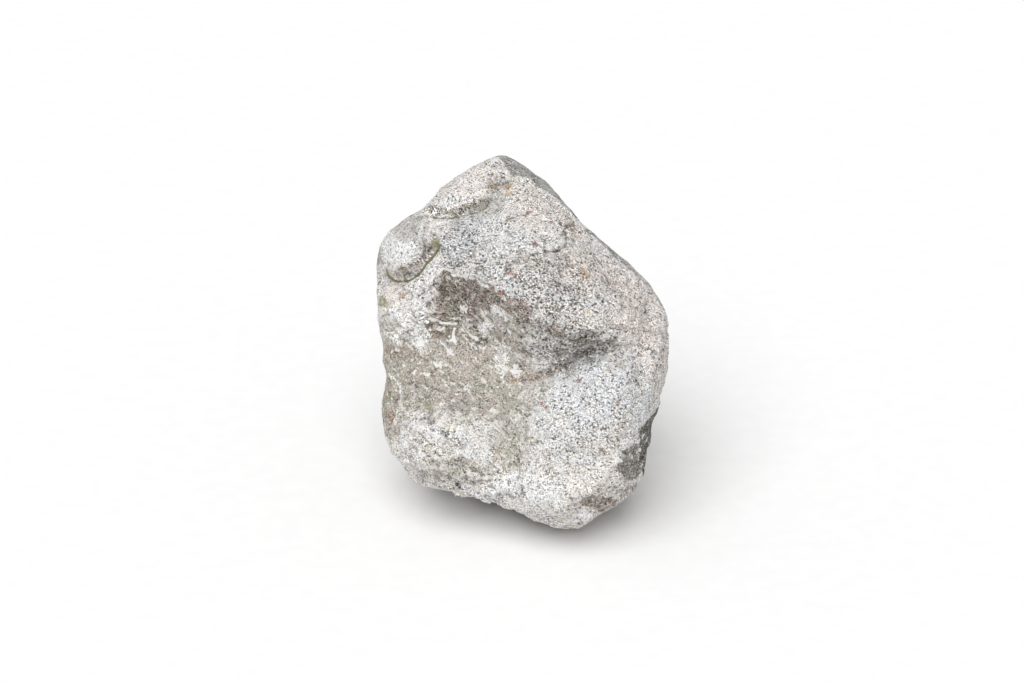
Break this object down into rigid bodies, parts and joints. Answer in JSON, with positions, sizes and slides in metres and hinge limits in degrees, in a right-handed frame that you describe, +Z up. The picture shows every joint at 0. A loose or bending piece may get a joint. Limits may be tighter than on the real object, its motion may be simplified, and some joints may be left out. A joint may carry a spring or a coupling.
{
  "type": "glacial erratic boulder",
  "caption": "Ice-worn granite boulder with an overhanging upper mass, two lower bulges and a flat sole to stand on.",
  "frame": {"origin": "on the flat sole, in the plane the stone stands on, under its middle", "axes": "+Z up from the sole to the crown, -Y out of the broad front face, +X to the right seen from the front"},
  "size_m": [0.4855, 0.4942, 0.5335],
  "materials": {
    "granite": "weathered, rough, speckled light grey with darker patina and lichen"
  },
  "bodies": {
    "root": {"boulder": "granite"}
  },
  "joints": []
}
